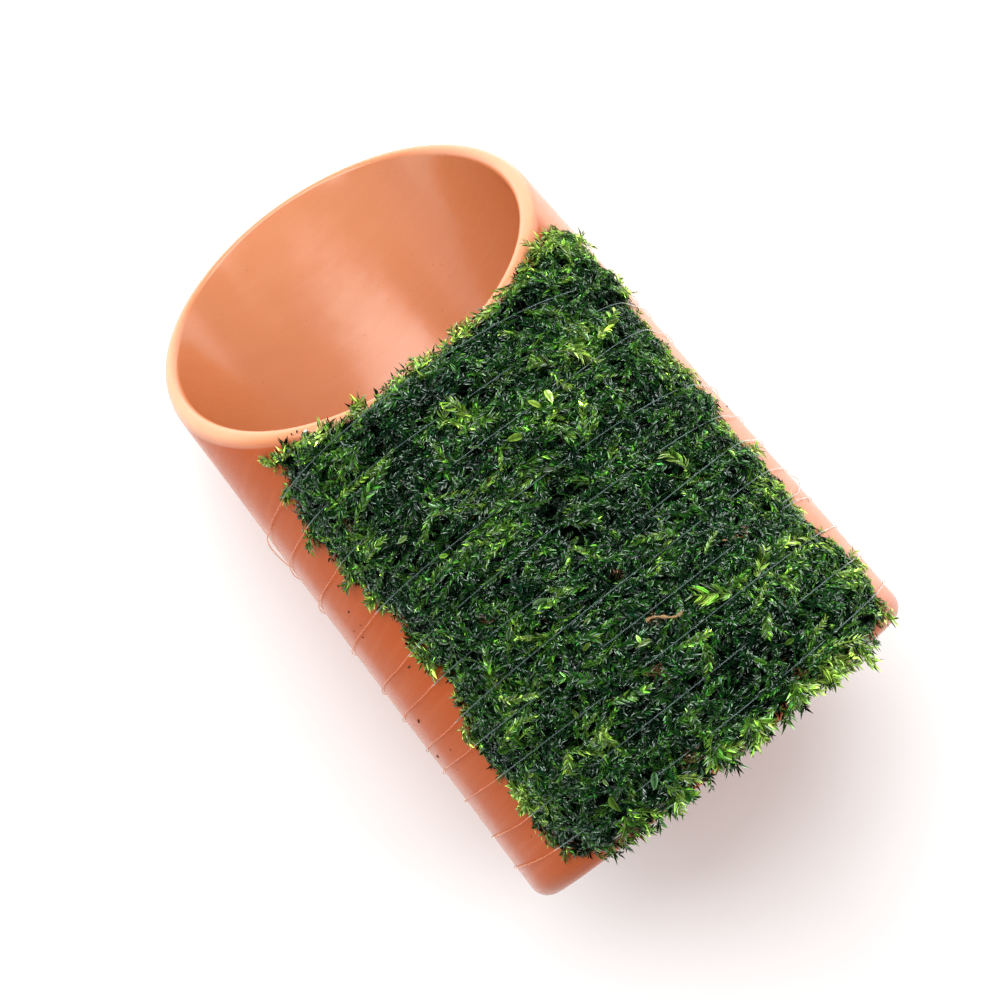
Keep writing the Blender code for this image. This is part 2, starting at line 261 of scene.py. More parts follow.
# Worked out from the sizes above
LINE_OUT = LINE_WIDTH / math.sqrt(3) / 2
LINE_IN = LINE_WIDTH / math.sqrt(3)
LINE_RADIUS = OUTER_RADIUS + LINE_CLEARANCE + LINE_IN
AXIS_HEIGHT = (LINE_RADIUS + LINE_OUT) * math.cos(math.pi / SIDES)
ROUND_LINE_SHIFT = AXIS_HEIGHT - ROUND_LINE_RADIUS - LINE_RADIUS

# Camera, from the tube's outlines
CAMERA_PLACE = (0.01397, 0.06106, 0.23931)
CAMERA_AIM = (0.00199, 0.01506, 0.03541)
CAMERA_ROLL = 24.07
CAMERA_LENS = 46.8
CAMERA_SENSOR = 36.0


# Places on the tube

UP = np.array((0.0, 0.0, 1.0))


def packed(*parts):
    """One array whose last axis holds the parts, all stretched to one shape."""
    return np.stack(np.broadcast_arrays(*parts), axis=-1)


def on_tube(azimuth, radius, reach):
    """Points in metres from azimuths in degrees and radii and reaches in mm."""
    angle = np.radians(azimuth)
    height = AXIS_HEIGHT + radius * np.cos(angle)
    return packed(radius * np.sin(angle), LONG_SIDE / 2 - reach, height) * MM


def from_unrolled(points):
    """Points in metres from an array whose last axis holds u, v and h."""
    return on_tube(azimuth_of(points[..., 0]), OUTER_RADIUS + points[..., 2], points[..., 1])


def azimuth_of(u):
    return np.degrees(u / OUTER_RADIUS)


def u_of(azimuth):
    return np.radians(azimuth) * OUTER_RADIUS


def places_of(table):
    """u and v of the places whose azimuth and reach lead the rows of a table."""
    return packed(u_of(table[:, 0]), table[:, 1])


def wrapped(azimuth):
    """The azimuth counted from -180 to 180."""
    return (azimuth + 180.0) % 360.0 - 180.0


def smooth(share):
    share = np.clip(share, 0.0, 1.0)
    return share * share * (3.0 - 2.0 * share)


def unit(vectors):
    return vectors / np.maximum(np.linalg.norm(vectors, axis=-1, keepdims=True), 1e-9)


def ripples(u, v, size, seed):
    """Smooth unevenness from about -1 to 1, as a sum of waves about size mm across."""
    rng = np.random.default_rng(seed)
    total = np.zeros(np.broadcast(u, v).shape)
    waves = 10
    for _ in range(waves):
        angle = rng.uniform(0.0, 2 * math.pi)
        number = 2 * math.pi / (size * rng.uniform(1.2, 3.0))
        phase = rng.uniform(0.0, 2 * math.pi)
        total += np.sin((u * math.cos(angle) + v * math.sin(angle)) * number + phase)
    return total * 0.9 / math.sqrt(waves)


# Meshes

def mesh_object(name, points, faces, material, tones=None):
    """A smooth mesh object from points in metres, faces and tones of the points."""
    points = points.reshape(-1, 3)
    mesh = bpy.data.meshes.new(name)
    mesh.from_pydata(points.tolist(), [], faces.tolist(), shade_flat=False)
    if tones is not None:
        tones = tones.reshape(len(points), -1)
        colours = np.ones((len(points), 4), dtype=np.float32)
        colours[:, :tones.shape[1]] = tones
        layer = mesh.attributes.new("tone", "FLOAT_COLOR", "POINT")
        layer.data.foreach_set("color", colours.ravel())
    mesh.materials.append(material)
    thing = bpy.data.objects.new(name, mesh)
    bpy.context.scene.collection.objects.link(thing)
    return thing


def grid_faces(rows, columns, wrap=False):
    """Quads between neighbouring points of a grid that is stored row by row."""
    index = np.arange(rows * columns).reshape(rows, columns)
    if wrap:
        index = np.concatenate((index, index[:, :1]), axis=1)
    corners = packed(index[:-1, :-1], index[:-1, 1:], index[1:, 1:], index[1:, :-1])
    return corners.reshape(-1, 4)


def tube(centres, radii, sides, up):
    """Points and quads of a round tube along centres, an (n, 3) array."""
    along = unit(np.gradient(centres, axis=0))
    side = unit(np.cross(along, up))
    above = np.cross(side, along)
    angle = np.arange(sides)[:, None] * 2 * math.pi / sides
    ring = side[:, None] * np.cos(angle) + above[:, None] * np.sin(angle)
    points = centres[:, None] + ring * np.reshape(radii, (-1, 1, 1))
    return points.reshape(-1, 3), grid_faces(len(centres), sides, wrap=True)[:, ::-1]


def joined(parts):
    """One set of points and faces from several parts that begin with theirs."""
    points = [part[0].reshape(-1, 3) for part in parts]
    starts = np.cumsum([0] + [len(some) for some in points])
    faces = [part[1] + start for part, start in zip(parts, starts)]
    return np.concatenate(points), np.concatenate(faces)


def dress(piece, node):
    """The piece rides on the body and stands for its node, which it hides."""
    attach(piece, "root")
    if node:
        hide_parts(node)


# Materials

class Nodes:
    """A short way to write a material's nodes; an input's value is plain or a socket."""

    def __init__(self, name):
        self.material = bpy.data.materials.new(name)
        self.material.use_nodes = True
        self.tree = self.material.node_tree
        self.shader = self.tree.nodes["Principled BSDF"]

    def feed(self, node, inputs):
        for name, value in inputs.items():
            if isinstance(value, bpy.types.NodeSocket):
                self.tree.links.new(value, node.inputs[name])
            else:
                node.inputs[name].default_value = value

    def add(self, kind, inputs, **settings):
        node = self.tree.nodes.new(kind)
        for key, value in settings.items():
            setattr(node, key, value)
        self.feed(node, inputs)
        return node

    def finish(self, inputs):
        """The material, once its shader is fed."""
        self.feed(self.shader, inputs)
        return self.material

    def tone(self):
        """Sockets of the tone kept at each point of the mesh."""
        return self.add("ShaderNodeAttribute", {}, attribute_name="tone").outputs

    def place(self, scale=(1.0, 1.0, 1.0)):
        """Object coordinates in mm, stretched by scale."""
        source = self.add("ShaderNodeTexCoord", {}).outputs["Object"]
        inputs = {"Vector": source, "Scale": tuple(part / MM for part in scale)}
        return self.add("ShaderNodeMapping", inputs).outputs["Vector"]

    def noise(self, vector, scale, detail=2.0, roughness=0.5):
        inputs = {"Vector": vector, "Scale": scale, "Detail": detail, "Roughness": roughness}
        return self.add("ShaderNodeTexNoise", inputs).outputs["Fac"]

    def ramp(self, value, stops):
        """A colour ramp from (position, colour) stops."""
        node = self.add("ShaderNodeValToRGB", {"Fac": value})
        elements = node.color_ramp.elements
        while len(elements) < len(stops):
            elements.new(0.5)
        for element, (position, colour) in zip(elements, stops):
            element.position = position
            element.color = (*colour, 1.0)
        return node.outputs["Color"]

    def mix(self, factor, base, mark):
        """The base's socket with a plain colour mixed in."""
        inputs = {0: factor, 6: base, 7: (*mark, 1.0)}
        return self.add("ShaderNodeMix", inputs, data_type="RGBA").outputs[2]

    def range(self, value, start, end, low, high):
        """The value's range from start to end turned into low to high."""
        inputs = {"Value": value, "From Min": start, "From Max": end, "To Min": low, "To Max": high}
        return self.add("ShaderNodeMapRange", inputs).outputs["Result"]

    def bump(self, height, strength, distance, before=None):
        """A normal from a height, on top of the normal before it if there is one."""
        inputs = {"Height": height, "Strength": strength, "Distance": distance * MM}
        if before:
            inputs["Normal"] = before
        return self.add("ShaderNodeBump", inputs).outputs["Normal"]


def clay_material():
    """Satin terracotta, duller outside: mottled, finely speckled, with faint marks from turning."""
    nodes = Nodes("satin_clay")
    place = nodes.place()
    tone = nodes.tone()
    base = nodes.ramp(tone["Fac"], ((0.0, CLAY_OUTSIDE), (0.5, CLAY_INSIDE), (1.0, CLAY_LIP)))
    mottle = nodes.noise(place, 0.045, 3.0)
    streaks = nodes.noise(nodes.place((0.05, 1.0, 0.05)), 0.9, 4.0, 0.6)
    grain = nodes.noise(place, 4.5, 3.0, 0.7)
    specks = nodes.noise(place, 1.7, 1.0)
    for mark, texture, *limits in (
        (CLAY_DARK, mottle, 0.35, 0.65, 0.0, 0.10),
        (CLAY_PALE, streaks, 0.45, 0.7, 0.0, 0.06),
        (CLAY_PALE, grain, 0.55, 0.75, 0.0, 0.16),
        (CLAY_DARK, grain, 0.25, 0.42, 0.16, 0.0),
        (CLAY_DARK, specks, 0.765, 0.78, 0.0, 0.55),
    ):
        base = nodes.mix(nodes.range(texture, *limits), base, mark)
    dull = nodes.noise(place, 0.12, 4.0, 0.6)
    fine = nodes.bump(grain, 0.2, 0.04)
    turned = nodes.bump(streaks, 0.2, 0.03, fine)
    return nodes.finish({
        "Base Color": base,
        "Roughness": nodes.range(dull, 0.3, 0.7, 0.17, 0.24),
        "Specular IOR Level": tone["Alpha"],
        "Normal": nodes.bump(nodes.noise(place, 0.09, 2.0), 0.3, 0.4, turned),
    })


def leaf_material(name, roughness, through_share):
    """Leaf, wet in places: each has its own tone and gloss, and some light comes through it."""
    nodes = Nodes(name)
    tone = nodes.tone()
    stain = nodes.noise(nodes.place(), 3.0, 2.0)
    colour = nodes.mix(nodes.range(stain, 0.3, 0.6, 0.4, 0.0), tone["Color"], (0.0, 0.004, 0.002))
    through = nodes.add("ShaderNodeBsdfTranslucent", {"Color": colour}).outputs["BSDF"]
    both = {0: through_share, 1: nodes.shader.outputs["BSDF"], 2: through}
    surface = nodes.add("ShaderNodeMixShader", both).outputs["Shader"]
    nodes.feed(nodes.tree.nodes["Material Output"], {"Surface": surface})
    return nodes.finish({
        "Base Color": colour,
        "Roughness": roughness,
        "IOR": LEAF_IOR,
        "Specular IOR Level": tone["Alpha"],
        "Specular Tint": (0.88, 1.0, 0.92, 1.0),
    })


def line_material(name, transmission, low, high):
    """Clear nylon, slightly uneven, with the colour of what shows through it painted on as painted light."""
    nodes = Nodes(name)
    haze = nodes.noise(nodes.place(), 0.6, 2.0)
    tone = nodes.tone()["Fac"]
    return nodes.finish({
        "Base Color": nodes.ramp(tone, LINE_PAINTED_TINTS),
        "Roughness": nodes.range(haze, 0.3, 0.7, low, high),
        "IOR": nodes.range(tone, 0.0, 1.0, 1.10, 1.42),
        "Transmission Weight": transmission,
    })


def depth_material():
    """The dark tangle deep in the moss, coloured near-black as painted shade."""
    nodes = Nodes("moss_depth")
    tangle = nodes.noise(nodes.place(), 1.6, 4.0, 0.7)
    return nodes.finish({
        "Base Color": nodes.ramp(tangle, DEPTH_SHADE_COLOURS),
        "Roughness": 0.8,
        "Specular IOR Level": 0.1,
        "Normal": nodes.bump(tangle, 0.9, 0.4),
    })


def speck_material(name, low, high, roughness):
    """A small dull thing, mottled between two colours."""
    nodes = Nodes(name)
    mottle = nodes.noise(nodes.place(), 5.0, 3.0)
    return nodes.finish({
        "Base Color": nodes.ramp(mottle, ((0.3, low), (0.7, high))),
        "Roughness": roughness,
        "Normal": nodes.bump(mottle, 0.5, 0.05),
    })


# Clay shelter

def lip_reach(azimuth):
    """Reach of the middle of the lip's rounding, which follows the slanted cut."""
    middle = (LONG_SIDE + SHORT_SIDE - WALL) / 2
    swing = (LONG_SIDE - SHORT_SIDE) / 2
    return middle - swing * np.cos(np.radians(azimuth))


def outside_finish(azimuths, reach):
    """Tone and gloss of the outside wall, which is wet along both flanks and paler on the right one, where
    the paler tone is painted light.
    """
    azimuths = wrapped(azimuths)
    wall = smooth(reach / 6.0) * smooth((160.0 - np.abs(azimuths)) / 50.0)
    left = 0.8 * wall * smooth((azimuths - 66.0) / 12.0) * smooth((78.0 - reach) / 16.0)
    right = wall * smooth((-azimuths - 50.0) / 8.0)
    return CLAY_FLANK_PAINTED_LIGHT * right, CLAY_DULL + (CLAY_WET - CLAY_DULL) * np.maximum(left, right)


def clay_rows(azimuths):
    """Radius, reach and tone of each row of the clay's skin, from the closed end round the lip to inside.

    The tone is 0 outside, where the darker colour is painted shade, 0.5 inside and 1 on the lip, which is
    paler.
    """
    same = np.zeros(len(azimuths))
    rows = []

    def add(radius, reach, tone):
        rows.append((radius + same, reach + same, tone))

    inner = OUTER_RADIUS - WALL
    floor = END_THICKNESS + INNER_FILLET
    lip = lip_reach(azimuths)
    slope = (LONG_SIDE - SHORT_SIDE) / 2 / (OUTER_RADIUS - WALL / 2) * np.sin(np.radians(azimuths))
    lip_height = WALL / 2 * np.sqrt(1 + slope ** 2)
    outer_start = lip - LIP_DROP * lip_height
    quarter = np.linspace(0.0, math.pi / 2, ROUND_STEPS)
    along_wall = np.linspace(0.0, 1.0, WALL_STEPS)[1:-1]
    for radius in END_RINGS:
        add(radius, 0.0, 0.0)
    for turn in quarter:
        add(OUTER_RADIUS - END_ROUNDING * (1 - math.sin(turn)), END_ROUNDING * (1 - math.cos(turn)), 0.0)
    for share in along_wall:
        add(OUTER_RADIUS, END_ROUNDING + (outer_start - END_ROUNDING) * share, 0.0)
    for turn in np.linspace(0.0, math.pi, LIP_STEPS):
        width, drop = (1 - LIP_CREST, LIP_DROP) if turn < math.pi / 2 else (LIP_CREST, 0.0)
        across = (LIP_CREST + width * math.cos(turn)) * WALL
        rise = math.sin(turn) - drop * (1 - math.sin(turn))
        tone = float(np.interp(turn, (0.0, 0.7, 1.9, math.pi), (0.0, 0.9, 1.0, 0.5)))
        add(inner + across, lip + lip_height * rise, tone)
    for share in along_wall:
        add(inner, lip + (floor - lip) * share, 0.5)
    for turn in quarter:
        add(inner - INNER_FILLET * (1 - math.cos(turn)), floor - INNER_FILLET * math.sin(turn), 0.5)
    for radius in reversed(END_RINGS):
        add(radius, END_THICKNESS, 0.5)
    return rows


def make_shelter():
    azimuths = np.arange(CLAY_SIDES) * 360.0 / CLAY_SIDES
    around = OUTER_RADIUS * np.sin(np.radians(azimuths))
    across = OUTER_RADIUS * np.cos(np.radians(azimuths))
    skin = []
    tones = []
    for radius, reach, tone in clay_rows(azimuths):
        flank_painted_light, gloss = outside_finish(azimuths, reach)
        if tone > 0.0:
            gloss = CLAY_WET
        # The right flank's paler tone is painted light
        shown = np.maximum(flank_painted_light, tone)
        tones.append(packed(shown, shown, shown, gloss))
        uneven = CLAY_UNEVENNESS * ripples(around, across + reach, CLAY_WAVE, 3)
        uneven *= smooth((radius - 25.0) / 6.0)
        skin.append(on_tube(azimuths, radius + uneven, reach))
    ends = [skin[0].mean(axis=0), skin[-1].mean(axis=0)]
    points = np.concatenate(skin + [np.array(ends)])
    quads = grid_faces(len(skin), CLAY_SIDES, wrap=True)
    first = np.arange(CLAY_SIDES)
    following = (first + 1) % CLAY_SIDES
    last = (len(skin) - 1) * CLAY_SIDES
    triangles = np.concatenate((
        quads[:, [0, 2, 1]], quads[:, [0, 3, 2]],
        packed(len(points) - 2, first, following),
        packed(len(points) - 1, following + last, first + last),
    ))
    tones.append(np.array(((0.0, 0.0, 0.0, CLAY_DULL), (0.5, 0.5, 0.5, CLAY_WET))))
    tones = np.concatenate(tones)
    dress(mesh_object("clay_shelter", points, triangles, clay_material(), tones), "shelter")


# Route of the binding line

def route_points():
    """Azimuth, counted on past each full turn, and reach of the points that lead the line."""
    points = list(START_POINTS)
    for turn, reaches in enumerate(TURNS):
        start = 360.0 * turn
        points += [(start + azimuth, reach) for azimuth, reach in zip(TURN_AZIMUTHS, reaches)]
        if turn < len(TURNS) - 1:
            points.append((start + FLANK_AZIMUTH, reaches[-1] + FLANK_RISE))
    return points + [(start + azimuth, reach) for azimuth, reach in END_POINTS]


ROUTE_AZIMUTHS, ROUTE_REACHES = np.array(route_points()).T


def route_slopes():
    """Slopes of the smooth route at its points, none at its ends and where it turns back."""
    steps = np.diff(ROUTE_REACHES) / np.diff(ROUTE_AZIMUTHS)
    product = np.maximum(steps[:-1] * steps[1:], 0.0)
    total = np.where(product > 0.0, steps[:-1] + steps[1:], 1.0)
    return np.concatenate(((0.0,), 2 * product / total, (0.0,)))


ROUTE_SLOPES = route_slopes()


def route_reach(azimuth):
    """Reach of the line at azimuths counted on past each turn."""
    index = np.clip(np.searchsorted(ROUTE_AZIMUTHS, azimuth) - 1, 0, len(ROUTE_AZIMUTHS) - 2)
    span = ROUTE_AZIMUTHS[index + 1] - ROUTE_AZIMUTHS[index]
    t = (azimuth - ROUTE_AZIMUTHS[index]) / span
    turned = t * (1.0 - t) * span
    blend = ROUTE_REACHES[index] + (ROUTE_REACHES[index + 1] - ROUTE_REACHES[index]) * smooth(t)
    return blend + turned * ((1.0 - t) * ROUTE_SLOPES[index] - t * ROUTE_SLOPES[index + 1])


def groove_height(azimuth):
    """Height of the pressed moss under the line, above the clay."""
    edge = np.where(azimuth > 0, MOSS_LEFT, MOSS_RIGHT)
    fall = np.minimum(np.abs(azimuth / edge), 1.0) ** 4
    return GROOVE_HEIGHT + (EDGE_GROOVE_HEIGHT - GROOVE_HEIGHT) * fall


def moss_bridge(azimuth):
    """Radius of the taut line, straight from the moss's edge down to where it meets the clay."""
    azimuth = wrapped(azimuth)
    if MOSS_RIGHT <= azimuth <= MOSS_LEFT:
        return LINE_RADIUS + float(groove_height(azimuth))
    past = azimuth - MOSS_LEFT if azimuth > 0 else MOSS_RIGHT - azimuth
    span = math.degrees(math.acos(LINE_RADIUS / (LINE_RADIUS + EDGE_GROOVE_HEIGHT)))
    if past >= span:
        return LINE_RADIUS
    return LINE_RADIUS / math.cos(math.radians(span - past))


def line_tone(azimuth):
    """1 on the moss, 0.5 on the pale clay to its right and 0 on the rest of the clay."""
    azimuth = wrapped(azimuth)
    if azimuth > MOSS_RIGHT:
        return float(azimuth < MOSS_LEFT)
    return 0.5 if azimuth > MOSS_RIGHT - 45.0 else 0.0


def crossing_lift(azimuth):
    """Lift of the line's last stretch over the turns that it crosses on both flanks."""
    past = azimuth - 360.0 * (len(TURNS) - 1)
    shares = [min(past - start, end - past) / CROSSING_RAMP + 1 for start, end in CROSSING_SPANS]
    return ROUND_LINE_CROSSING * min(max(0.0, *shares), 1.0)


def knot(azimuth, reach, radius):
    """A small knot: three loops round the line and a short tag end."""
    turn = np.linspace(0.0, 3.2 * 2 * math.pi, 60)
    loop = 0.24 + 0.05 * np.sin(turn * 0.5)
    u = u_of(azimuth) + (turn / turn[-1] - 0.5) * 0.9
    coil = packed(u, reach + loop * np.cos(turn), radius - OUTER_RADIUS + loop * np.sin(turn))
    away = np.linspace(0.0, 1.0, 12)
    tag = coil[-1] + packed(1.5 * away, 0.5 * away ** 2, 0.35 * away)
    centres = from_unrolled(np.concatenate((coil, tag[1:])))
    thickness = np.full(len(centres), ROUND_LINE_RADIUS * 0.9 * MM)
    return tube(centres, thickness, 8, (0.3, 0.2, 1.0))


def make_binding_line():
    start, end = ROUTE_AZIMUTHS[[0, -1]]
    azimuths = np.linspace(start, end, int((end - start) / LINE_STEP))
    centres = []
    for azimuth in azimuths:
        radius = moss_bridge(azimuth) + crossing_lift(azimuth) + ROUND_LINE_SHIFT
        centres.append(on_tube(azimuth, radius, route_reach(azimuth)))
    thickness = np.full(len(centres), ROUND_LINE_RADIUS * MM)
    points, faces = tube(np.array(centres), thickness, LINE_CORNERS, (0.0, 1.0, 0.0))
    tones = np.repeat([line_tone(azimuth) for azimuth in azimuths], 3 * LINE_CORNERS)
    clear = line_material("clear_nylon", 0.8, 0.04, 0.16)
    dress(mesh_object("nylon_line", points, faces, clear, tones), "binding_line")
    knots = []
    for azimuth in (start, end):
        radius = moss_bridge(azimuth) + ROUND_LINE_SHIFT + 0.1
        knots.append(knot(azimuth, route_reach(azimuth), radius))
    points, faces = joined(knots)
    # The knots are frosted, less clear than the line, as a painted glint
    knot_glint = line_material("frosted_glint_nylon", 0.45, 0.10, 0.25)
    dress(mesh_object("line_knots", points, faces, knot_glint), "binding_line")


# Shape of the moss

# Reach of each turn of the line at azimuths across the moss
LINE_GRID = np.arange(-66.0, 66.5, 0.5)
LINE_TABLE = np.array([route_reach(360.0 * turn + LINE_GRID) for turn in range(len(TURNS))])


def line_gap(u, v):
    """Distance along the tube to the nearest turn of the line."""
    azimuth = azimuth_of(u)
    nearest = np.full(np.broadcast(u, v).shape, 99.0)
    for row in LINE_TABLE:
        nearest = np.minimum(nearest, np.abs(v - np.interp(azimuth, LINE_GRID, row)))
    return nearest


def front_reach(azimuth):
    """Reach of the moss's front edge: it follows the lip, and its two corners are rounded off."""
    corner = np.where(azimuth > 0, FRONT_CORNER_LEFT, FRONT_CORNER_RIGHT)
    lip = lip_reach(azimuth) + FRONT_OVERHANG - CORNER_RETREAT * (azimuth / 35.0) ** 2
    return -np.log(np.exp(-lip) + np.exp(-corner))


def back_reach(azimuth):
    """Reach of the moss's back edge at the closed end, with rounded corners."""
    edge = np.where(azimuth > 0, MOSS_LEFT, MOSS_RIGHT)
    return BACK_EDGE + BACK_CORNER * (azimuth / edge) ** 8


def side_edges(v):
    """u of the moss's left and right edges."""
    return u_of(np.interp(v, *zip(*LEFT_EDGE))), u_of(np.interp(v, *zip(*RIGHT_EDGE)))


def side_gap(u, v):
    """Distance inside the moss's two side edges, negative outside them."""
    left, right = side_edges(v)
    return np.minimum(left - u, u - right)


def end_gap(u, v):
    """Distance inside the moss's front and back edges, negative outside them."""
    azimuth = azimuth_of(u)
    return np.minimum(front_reach(azimuth) - v, v - back_reach(azimuth))


def edge_gap(u, v):
    """Distance inside the moss's ragged outline, negative outside it."""
    return np.minimum(side_gap(u, v), end_gap(u, v)) + 0.5 * ripples(u, v, 1.6, 31)


def pressed_height(u, v):
    """Height of the moss at the line, which presses it down; in places the moss closes over the line."""
    covered = smooth((ripples(u, v, 7.0, 13) - 0.05) / 0.4)
    return groove_height(azimuth_of(u)) * (1.0 + LINE_COVER * covered)


def moss_top(u, v):
    """Height of the moss: lumpy crests between the turns of the line, thin towards its edges."""
    groove = pressed_height(u, v)
    crest = CREST_HEIGHT + LUMP_HEIGHT * (ripples(u, v, 4.5, 11) + 0.6 * ripples(u, v, 2.0, 12))
    rise = smooth((line_gap(u, v) - GROOVE_HALF) / GROOVE_SLOPE)
    height = groove + (np.maximum(crest, groove) - groove) * rise
    sides = SIDE_HEIGHT + (1 - SIDE_HEIGHT) * smooth((side_gap(u, v) + 0.6) / SIDE_FALL)
    ends = END_HEIGHT + (1 - END_HEIGHT) * smooth((end_gap(u, v) + 0.8) / END_FALL)
    return height * sides * ends


def below_line(points, free):
    """Presses points near the line down beside and below it, except those that are free."""
    u, v, h = points[..., 0], points[..., 1], points[..., 2]
    limit = pressed_height(u, v) * 0.93 + 1.5 * np.maximum(0.0, line_gap(u, v) - 0.3)
    over = h - limit
    pressed = limit - 0.3 * (1.0 - np.exp(-np.maximum(over, 0.0) / 0.3))
    lowered = np.where((over > 0.0) & ~free, pressed, h)
    return packed(u, v, np.maximum(lowered, 0.05))


# Moss leaves

def blade_faces(rows):
    """Triangles of one leaf: its base, rows of left edge, rib and right edge, and its tip."""
    faces = []
    tip = 1 + 3 * rows
    for lane in (0, 1):
        faces.append((0, 1 + lane, 2 + lane))
        for row in range(rows - 1):
            a = 1 + 3 * row + lane
            faces += [(a, a + 3, a + 1), (a + 1, a + 3, a + 4)]
        last = tip - 3 + lane
        faces.append((last, tip, last + 1))
    return np.array(faces)


def blades(base, along, above, toward, length, width, shape, rng):
    """Curved leaves as unrolled points (leaves, corners, 3), and the triangles of them all.

    A leaf leaves its base along one direction, faces above, and bends towards a third one.
    """
    count = len(base)
    side = np.cross(along, above)
    bow = rng.uniform(-0.04, 0.30, count)
    droop = rng.uniform(0.0, 0.25, count)
    fold = rng.uniform(0.15, 0.45, count)

    def at(share):
        rise = bow * share * (1.0 - share) * 4.0 - droop * share * share
        path = along * share + above * rise[:, None] + toward * share * share
        return base + path * length[:, None]

    corners = [base]
    for share, fullness in shape:
        middle = at(share)
        half = side * (width * fullness / 2)[:, None]
        rib = above * (fold * width * fullness)[:, None]
        corners += [middle - half, middle - rib, middle + half]
    corners.append(at(1.0))
    points = np.stack(corners, axis=1)
    one = blade_faces(len(shape))
    starts = np.arange(count) * points.shape[1]
    return points, (starts[:, None, None] + one[None]).reshape(-1, 3)


def tones_for(freshness):
    """Leaf colours on the palette, whose ends stand for all that lies beyond them."""
    places, colours = zip(*PALETTE)
    return packed(*[np.interp(freshness, places, channel) for channel in zip(*colours)])


def spots_share(u, v, spots):
    """How far inside one of the round spots each place lies, 1 at a middle and 0 outside them all."""
    share = np.zeros(u.shape)
    for azimuth, reach, radius in spots:
        distance = np.hypot(u - u_of(azimuth), v - reach)
        share = np.maximum(share, np.exp(-(distance / radius) ** 2))
    return share


def over_leaf(base, edge, rib, tip, corners):
    """One value for each corner of a leaf, from those of its base, edges, rib and tip."""
    return np.concatenate(((base,), np.tile((edge, rib, edge), corners // 3), (tip,)))


def leaf_tones(points, fresh, rng):
    """Colour and gloss of the leaves' corners: darker with painted shade deep down, at the base and on the
    rib, lighter with painted highlights on the edges and tip, and duller deep down, at the base and on the
    rib.
    """
    count, corners, _ = points.shape
    u, v, h = points[:, corners // 2].T
    depth = h / np.maximum(moss_top(u, v), 0.3)
    # Painted shade: leaves lower in the moss are darkened
    shade = 0.06 + 0.94 * smooth((depth - 0.45) / 0.6)
    tones = tones_for(fresh + rng.normal(0.0, 0.10, count))
    tones *= (shade * np.exp(rng.normal(-0.12, 0.75, count)))[:, None]
    for colour, chance in ((OLD_LEAF, OLD_SHARE), (RUST, spots_share(u, v, BROWN_SPOTS))):
        brown = rng.random(count) < chance
        tones[brown] = np.array(colour) * rng.uniform(0.4, 1.0, int(brown.sum()))[:, None]
    # Painted light and shade along each leaf: base and rib darker, edges and tip lighter
    light = over_leaf(0.4, 1.5, 0.5, 1.6, corners)
    wet = over_leaf(0.0, 1.0, RIB_GLOSS, 1.0, corners)
    gloss = np.where(rng.random(count) < GLOSSY_SHARE, 1.0, DULL_GLOSS) * smooth((depth - 0.5) / 0.4)
    tones = tones[:, None] * light[None, :, None]
    return np.concatenate((tones, (gloss[:, None] * wet)[:, :, None]), axis=-1)


@dataclass
class Habit:
    """How one kind of shoot grows and holds its leaves: lengths in mm, angles in radians."""
    step: float = 0.32
    wander: float = 0.10
    sweep: float = 0.03
    roll: float = 0.45
    spread: float = 0.95
    scatter: float = 0.10
    lean: float = 0.08
    lean_scatter: float = 0.14
    twist: float = 0.35
    hook: float = 0.55
    width: float = 0.31
    shape: tuple = SLIM_LEAF
    covering: float = 0.40


